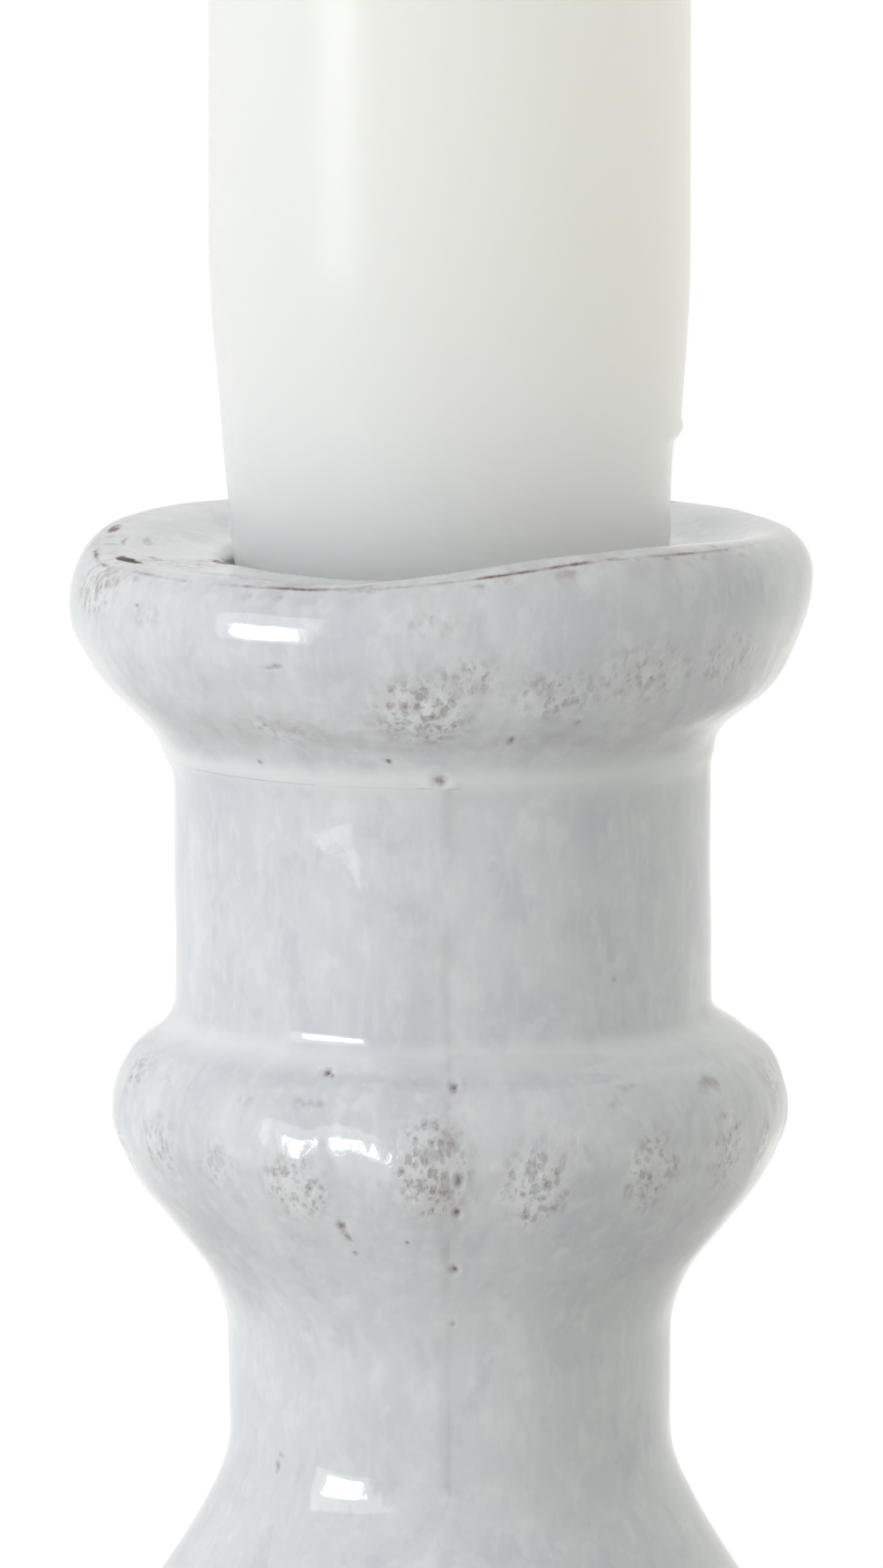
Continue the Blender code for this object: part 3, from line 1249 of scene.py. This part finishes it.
    def shape(self, side: int) -> Skin:
        """One half's skin, with its share of pits, pinholes and seam.

        Args:
            side: -1 for the left half and 1 for the right.

        Returns:
            The skin, from the front seam to the back one.
        """
        share = np.linspace(0.0, 1.0, self.columns + 1)
        share = share - self.crowding * np.sin(2 * np.pi * share) / (2 * np.pi)
        turns = share * 180.0 if side > 0 else 180.0 + share * 180.0
        skin = Skin(turns, self.outline(-1.0), self.outline(1.0), False)
        skin.face_out(0)
        skin.face_out(sum(self.rows))
        thick = skin.radius > self.seat_radius + 0.75
        outside = smooth(0.0, 1.0, skin.out) * smooth(self.bottom, self.bottom + 3.0, skin.height) * thick
        self.hands.touch(skin, outside)
        self.hands.lute(skin, self.neck_joint.height + 0.2, outside)
        self.hands.lute(skin, self.bottom, (skin.out > 0.5) * thick)
        self.hands.stand_streaks(skin, self.ring_height, 2.6, 0.035)
        self.hands.stand_streaks(skin, self.baluster_height - 1.6, 5.0, 0.040)
        self.hands.stand_streaks(skin, self.bead_height, 2.2, 0.035)
        self.hands.seam(skin, outside)
        slip = bell(skin.height - self.fillet_height, 1.2) * bell(skin.from_place(0.0, 0.0)[0], 3.5)
        skin.height = skin.height + 0.16 * side * slip * outside
        for dome in self.domes:
            dome.press(skin)
        for patch in [*self.patches, *self.unseen_patches()]:
            patch.press(skin, self.hands.lumps)
        for hole in self.holes:
            hole.press(skin)
        self.stain(skin, outside)
        return skin

    def stain(self, skin: Skin, outside: np.ndarray) -> None:
        """Marks where the glaze wore off the shoulder, a paler band on the fillet that is pooled glaze and
        painted light, and where there is none.

        Args:
            skin: One half's skin.
            outside: 1 where it can be touched and 0 where it can't.
        """
        lumps, places = self.hands.lumps, skin.points()
        corner = bell(skin.height - self.corner_height, 0.5) * smooth(0.1, 0.7, lumps.at(places + 9.0, 1.4))
        skin.mark("clay", 0.42 * corner * smooth(-0.1, 0.6, lumps.at(places, 6.0)) * outside)
        # A paler band round the fillet: painted light where the shoulder catches the light, and pooled
        # glaze.
        fillet = bell(skin.height - self.fillet_height - 0.2 * lumps.at(places, 5.0, 99.0), 0.55)
        skin.mark("pooled_glaze_and_painted_light", 0.9 * fillet * outside)
        skin.mark("bare", smooth(0.0, 0.5, self.neck_joint.height - skin.height) * (skin.out < 0.0))

    def unseen_patches(self) -> list[PitPatch]:
        """Patches of pits round the ring's back, the baluster and the bead, like those at the front.

        Returns:
            The patches, the same at every run.
        """
        rng = np.random.default_rng(12)
        made = []
        round_ring = self.ring_height - 0.7, range(72, 300, 19), 1.3
        round_baluster = self.baluster_height - 1.1, range(0, 360, 40), 1.7
        for middle, turns, wide in (round_ring, round_baluster):
            for turn in turns:
                place = turn + rng.uniform(-6, 6), middle + rng.uniform(-0.9, 1.1)
                size = wide * rng.uniform(0.7, 1.2), wide * rng.uniform(0.9, 1.6)
                made.append(PitPatch(*place, *size, rng.uniform(0.3, 0.9), 0.10))
        for turn in range(10, 360, 55):
            place = turn + rng.uniform(-9, 9), self.bead_height + 0.1
            made.append(PitPatch(*place, 1.2, 1.0, rng.uniform(0.3, 0.8), 0.08))
        return made

    def build(self) -> list[bpy.types.Object]:
        """Makes both halves and dresses them."""
        made = []
        for side, word in ((-1, "Left"), (1, "Right")):
            piece = self.shape(side).mesh(f"Stem{word}Shell")
            self.glaze.dress(piece)
            made.append(seat(piece, Body.HOLDER, f"stem_{word.lower()}_shell"))
        return made


@dataclass
class SocketFloor:
    """The disc of bare clay that floors the socket."""

    hands: HandWork
    clay: Clay
    columns: int = 96
    rounding: float = 0.35
    vent: float = 1.5

    def build(self) -> bpy.types.Object:
        """Makes the disc, with soft edges and a finger-smoothed top."""
        low, high = span("socket_floor")
        radius, soft = half_width("socket_floor"), self.rounding
        top = [
            Station(self.vent, high - soft, 90),
            Station(self.vent + soft, high, 0),
            Station(radius - soft, high, 0),
            Station(radius, high - soft, -90),
            Station(radius - 0.2, low + soft, -90),
            Station(radius - 0.2 - soft, low, 180),
            Station(self.vent + soft, low, 180),
            Station(self.vent, low + soft, 90),
        ]
        ring = arcs(top, [5, 30, 5, 6, 5, 20, 5])
        ring = np.concatenate([ring, [top[-1][:2]]])
        skin = Skin(full_circle(self.columns), ring, ring, True)
        skin.push(-0.05 + 0.05 * self.hands.lumps.at(skin.points(), 1.8))
        piece = skin.mesh("SocketFloor")
        self.clay.dress(piece)
        return seat(piece, Body.HOLDER, "socket_floor")


@dataclass
class Foot:
    """The hollow domed foot, glazed down to its bare foot ring."""

    hands: HandWork
    glaze: Glaze
    columns: int = 420
    radius: float = half_width("foot")
    top: float = Stem.bottom
    joint: float = Stem.foot_joint
    dome_height: float = 0.71 * Stem.bottom
    step: float = 12.4

    def outline(self) -> np.ndarray:
        """The closed outline, down the outside and up the hollow."""
        r = self.radius
        sweep = [
            Station(self.joint, self.top, -88),
            Station(self.joint + 4.05, self.dome_height, -64),
            Station(r - 12.0, self.step + 2.6, -16),
            Station(r - 9.0, self.step, -28),
            Station(r, 6.2, -90),
            Station(r - 2.4, 0.35, -125),
        ]
        ring = [
            Station(r - 2.7, 0.0, 180),
            Station(r - 6.0, 0.0, 180),
            Station(r - 6.4, 0.5, 90),
        ]
        hollow = [
            Station(6.8, self.top, -90),
            Station(self.joint + 1.0, self.dome_height - 1.5, -64),
            Station(r - 13.0, self.step - 0.7, -16),
            Station(r - 10.6, self.step - 3.0, -28),
            Station(r - 3.4, 6.2, -90),
            Station(r - 6.4, 0.5, -110),
        ]
        outside = arcs(sweep, [40, 62, 18, 44, 26])
        below = np.concatenate([[sweep[-1][:2]], arcs(ring, [8, 3])])
        return np.concatenate([outside, below, arcs(hollow, [8, 10, 4, 8, 5])[::-1]])

    def shape(self) -> Skin:
        """The foot's skin, with pits along its edge and pinholes up its dome."""
        outline = self.outline()
        skin = Skin(full_circle(self.columns), outline, outline, True)
        lumps = self.hands.lumps
        outside = smooth(0.4, 2.0, skin.height) * (skin.out > -0.2)
        skin.face_out(0)
        self.hands.touch(skin, 1.6 * outside * smooth(self.top, self.top - 3.0, skin.height))
        self.hands.lute(skin, self.top, skin.out > 0.5)
        self.hands.stand_streaks(skin, 7.0, 3.0, 0.05)
        self.hands.seam(skin, outside * smooth(8.0, 20.0, skin.height))
        rng = np.random.default_rng(5)
        for turn in range(8, 360, 24):
            size = rng.uniform(1.6, 2.8), rng.uniform(1.3, 2.2)
            height = 8.0 + rng.uniform(-1.6, 1.8)
            patch = PitPatch(turn + rng.uniform(-8, 8), height, *size, rng.uniform(0.3, 0.9), 0.12)
            patch.press(skin, lumps)
        for turn in range(20, 360, 33):
            hole = Pinhole(turn + rng.uniform(-9, 9), rng.uniform(14.0, 40.0), rng.uniform(0.25, 0.4))
            hole.press(skin)
        places = skin.points()
        worn = bell(skin.height - self.step - 0.8, 0.8) * smooth(0.1, 0.8, lumps.at(places, 2.2))
        skin.mark("clay", 0.5 * worn * outside)
        skin.mark("bare", smooth(1.3, 0.5, skin.height + 0.5 * lumps.at(places, 3.0)))
        skin.height = np.maximum(skin.height, 0.0)
        return skin

    def build(self) -> bpy.types.Object:
        """Makes the foot and dresses it."""
        piece = self.shape().mesh("Foot")
        self.glaze.dress(piece)
        return seat(piece, Body.HOLDER, "foot")


@dataclass
class Candle:
    """The wax body, whose end was scraped down to fit, and its braided wick."""

    wax: Wax
    cotton: Cotton
    lumps: Lumps
    columns: int = 256
    radius: float = half_width("candle")
    bottom: float = span("candle")[0]
    top: float = span("candle")[1]
    lip: float = span("drip_dish")[1]
    taper_from: float = 13.5  # above the pan's lip
    bore: float = 1.3
    core: float = 0.01  # the wax is cast round the wick, and stands off it only at its ends
    open_end: float = 0.5
    strands: int = 4
    wick_columns: int = 32
    plait: float = 2.6  # height of one turn of the braid
    lean: float = 0.5

    def outline(self, side: float) -> np.ndarray:
        """The closed outline at one side.

        Args:
            side: -1 for the left and 1 for the right.

        Returns:
            An array of (radius, height), from the wick hole over the shoulder and down to the end.
        """
        slack = 0.12 if side > 0 else 0.0
        over = [
            Station(self.bore, self.top - 0.2, 40),
            Station(self.bore + 1.6, self.top - 0.5, 0),
            Station(self.radius - 1.7, self.top - 0.15, 4),
            Station(self.radius, self.top - 1.9, -90),
            Station(self.radius, self.lip + self.taper_from, -90),
            Station(self.radius - 0.46 + slack, self.lip + 5.9, -93.5),
            Station(self.radius - 1.0 + slack, self.lip - 0.2, -96),
            Station(self.radius - 2.4, self.bottom + 0.6, -92),
            Station(self.radius - 3.0, self.bottom, 180),
            Station(self.bore, self.bottom, 180),
        ]
        rows = [6, 14, 12, 90, 46, 62, 46, 5, 10]
        low, high = self.bottom + self.open_end, self.top - self.open_end
        cast_in = [(self.bore, low), (self.core, low + 0.5), (self.core, high - 0.5), (self.bore, high)]
        return np.concatenate([arcs(over, rows), [over[-1][:2]], cast_in])

    def body(self) -> bpy.types.Object:
        """Makes the wax body, with its scraped end and the small peel on its right."""
        skin = Skin(full_circle(self.columns), self.outline(-1.0), self.outline(1.0), True)
        places = skin.points()
        outside = smooth(self.bottom + 1.0, self.bottom + 4.0, skin.height)
        outside = outside * (skin.radius > self.radius - 3.5)
        scraped = smooth(self.lip + 12.0, self.lip + 2.0, skin.height) * outside
        skin.push(outside * 0.04 * self.lumps.at(places, 16.0))
        skin.push(scraped * 0.06 * self.lumps.at(places + 7.0, 3.2, 6.0))
        around, above = skin.from_place(88.0, self.lip + 4.6)
        peel = bell(around, 3.2) * smooth(0.25, -0.25, above) * smooth(-6.5, -1.0, above)
        skin.push(-0.26 * peel * outside)
        skin.push(0.10 * bell(around, 2.6) * bell(above - 0.45, 0.3) * outside)
        smear = self.lip + 0.1 + 0.4 * self.lumps.at(places, 2.4, 9.0)
        collar = 0.05 * bell(skin.height - smear, 0.8) * outside
        skin.push(collar * (1.0 + self.lumps.at(places, 1.3, 3.0)))
        # The scraped mark also paints the wax whiter near the pan: partly frost, partly painted glow.
        skin.mark("scraped", scraped)
        piece = skin.mesh("CandleBody")
        self.wax.dress(piece)
        return seat(piece, Body.CANDLE, "candle")

    def wick(self) -> bpy.types.Object:
        """Makes the braided wick, which leans a little above the wax."""
        low, high = span("wick")
        radius = half_width("wick")
        side = straight([(radius, high - 0.3), (radius, self.top - 3.0), (radius, low)], [220, 30])
        ring = np.concatenate([[(0.05, high), (0.6 * radius, high)], side, [(radius, low), (0.05, low)]])
        skin = Skin(full_circle(self.wick_columns), ring, ring, True)
        twist = np.radians(skin.turn) * self.strands
        climb = 2 * np.pi * skin.height / self.plait
        crossing = np.maximum(np.sin(twist + climb), np.sin(twist - climb))
        braided = smooth(self.top - 3.0, self.top - 2.0, skin.height) * (skin.radius > 0.3)
        skin.radius = skin.radius * (1.0 - 0.11 * (1.0 - crossing) * braided)
        skin.mark("hollow", braided * smooth(0.5, -0.4, crossing))
        piece = skin.mesh("WickBraid")
        flat = np.zeros(len(piece.data.vertices) * 3)
        piece.data.vertices.foreach_get("co", flat)
        places = flat.reshape(-1, 3)
        above = np.maximum(places[:, 2] - self.top * MM, 0.0) / ((high - self.top) * MM)
        places[:, 0] += self.lean * MM * above**2
        piece.data.vertices.foreach_set("co", places.ravel())
        self.cotton.dress(piece)
        return seat(piece, Body.CANDLE, "wick")

    def build(self) -> list[bpy.types.Object]:
        """Makes the body and the wick."""
        return [self.body(), self.wick()]


# -------------------------------------------------------------------------------------------- studio


@dataclass(frozen=True)
class Panel:
    """A soft light panel that faces the candlestick.

    Attributes:
        name: Its name.
        turn: Its turn in degrees, from the front and towards +X.
        rise: Its height above the horizon in degrees, seen from what it lights.
        wide: Its width in metres.
        tall: Its height in metres.
        away: Its distance in metres.
        glow: Its brightness, where 1 is the white of the paper.
        tint: Its colour.
    """

    name: str
    turn: float
    rise: float
    wide: float
    tall: float
    away: float
    glow: float
    tint: Colour = (0.985, 0.995, 1.0)

    def hang(self, target: Vector) -> None:
        """Adds the panel to the scene.

        Args:
            target: The place that it faces.
        """
        lamp = bpy.data.lights.new(self.name, "AREA")
        lamp.shape = "RECTANGLE"
        lamp.size, lamp.size_y = self.wide, self.tall
        lamp.energy = self.glow * math.pi * self.wide * self.tall
        lamp.color = self.tint
        turn, rise = math.radians(self.turn), math.radians(self.rise)
        level = math.cos(rise)
        back = Vector((math.sin(turn) * level, -math.cos(turn) * level, math.sin(rise)))
        made = bpy.data.objects.new(self.name, lamp)
        made.location = target + back * self.away
        made.rotation_euler = back.to_track_quat("Z", "Y").to_euler()
        made.visible_camera = False
        bpy.context.scene.collection.objects.link(made)


class Air(NamedTuple):
    """Light from the white room that grows by a gain along an axis, from a start to an end."""

    axis: str
    start: float
    end: float
    gain: float


@dataclass
class Studio:
    """White all round, a soft window of light from the left, and a long lens a little above the lip."""

    paper: Paper
    distance: float = 0.600
    camera_height: float = 0.2215
    aim: tuple[float, float, float] = (-0.00039, 0.0, 0.1385)
    lens: float = 303.0
    surround: float = 0.43
    airs: tuple[Air, ...] = (
        Air("Y", -0.2, 0.9, 0.42),
        Air("Z", -0.1, 1.0, 0.30),
        Air("Z", 0.1, -0.9, 0.78),
    )
    white: Colour = (1.0, 1.0, 1.0)
    warm_white: Colour = (1.01, 1.0, 0.945)
    warm_from: float = 0.5  # how far to the left the warmth starts, where 1 is all the way
    warm_width: float = 1.2
    floor_radius: float = 0.46
    floor_sides: int = 96
    panels: tuple[Panel, ...] = (
        Panel("left_window", -53.5, 6.5, 0.29, 0.29, 1.0, 9.5),
        Panel("left_window_veil", -55.0, 11.0, 0.50, 0.60, 1.02, 1.9),
    )

    def camera(self) -> None:
        """Sets up the camera."""
        data = bpy.data.cameras.new("long_lens")
        data.sensor_fit = "AUTO"
        data.sensor_width = 36.0
        data.lens = self.lens
        data.clip_start, data.clip_end = 0.01, 50.0
        made = bpy.data.objects.new("camera", data)
        made.location = (self.aim[0], -self.distance, self.camera_height)
        away = Vector(made.location) - Vector(self.aim)
        made.rotation_euler = away.to_track_quat("Z", "Y").to_euler()
        bpy.context.scene.collection.objects.link(made)
        bpy.context.scene.camera = made

    def surroundings(self) -> None:
        """Lights the world: white to look at, dimmer and a little warmer as a light where the airs say."""
        world = bpy.data.worlds.new("white_room")
        bpy.context.scene.world = world
        world.use_nodes = True
        n = Nodes(world.node_tree)
        n.tree.nodes.clear()
        split = n.node("SeparateXYZ")
        n.join(n.node("TexCoord").outputs["Generated"], split.inputs["Vector"])
        glow = self.surround
        for air in self.airs:
            part = n.step(air.start, air.end, split.outputs[air.axis])
            glow = n.sum("MULTIPLY_ADD", part, air.gain, glow)
        seen = n.node("LightPath").outputs["Is Camera Ray"]
        strength = n.sum("MULTIPLY_ADD", seen, n.sum("SUBTRACT", 1.0, glow), glow)
        side = n.sum("ADD", split.outputs["X"], self.warm_from)
        side = n.sum("MULTIPLY", side, n.sum("SUBTRACT", 1.0, seen))
        side = n.sum("DIVIDE", side, self.warm_width)
        room = n.node("Background")
        n.join(n.blend(side, self.white, self.warm_white), room.inputs["Color"])
        n.join(strength, room.inputs["Strength"])
        n.join(room.outputs["Background"], n.node("OutputWorld").inputs["Surface"])

    def floor(self) -> None:
        """Lays the round paper floor."""
        turns = np.radians(full_circle(self.floor_sides))
        data = bpy.data.meshes.new("paper_floor")
        rim = [(self.floor_radius * math.cos(a), self.floor_radius * math.sin(a), 0.0) for a in turns]
        data.from_pydata(rim, [], [list(range(len(rim)))])
        made = bpy.data.objects.new("paper_floor", data)
        made.location.z = -0.0002
        bpy.context.scene.collection.objects.link(made)
        self.paper.dress(made)

    def build(self) -> None:
        """Sets up the camera, lights, surroundings and floor."""
        self.camera()
        self.surroundings()
        self.floor()
        for panel in self.panels:
            panel.hang(Vector(self.aim))
        scene = bpy.context.scene
        scene.view_settings.view_transform = "Standard"
        scene.view_settings.look = "None"


def main() -> None:
    """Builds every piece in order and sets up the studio."""
    logging.basicConfig(level=logging.INFO, format="%(name)s: %(message)s")
    lumps = Lumps(seed=7)
    hands = HandWork(lumps)
    glaze, clay = Glaze(), Clay()
    Foot(hands, glaze).build()
    joint = NeckJoint.of_frame()
    Stem(hands, glaze, joint).build()
    SocketFloor(hands, clay).build()
    DripDish(hands, glaze, joint).build()
    Candle(Wax(), Cotton(), lumps).build()
    Studio(Paper()).build()


if __name__ == "__main__":
    main()
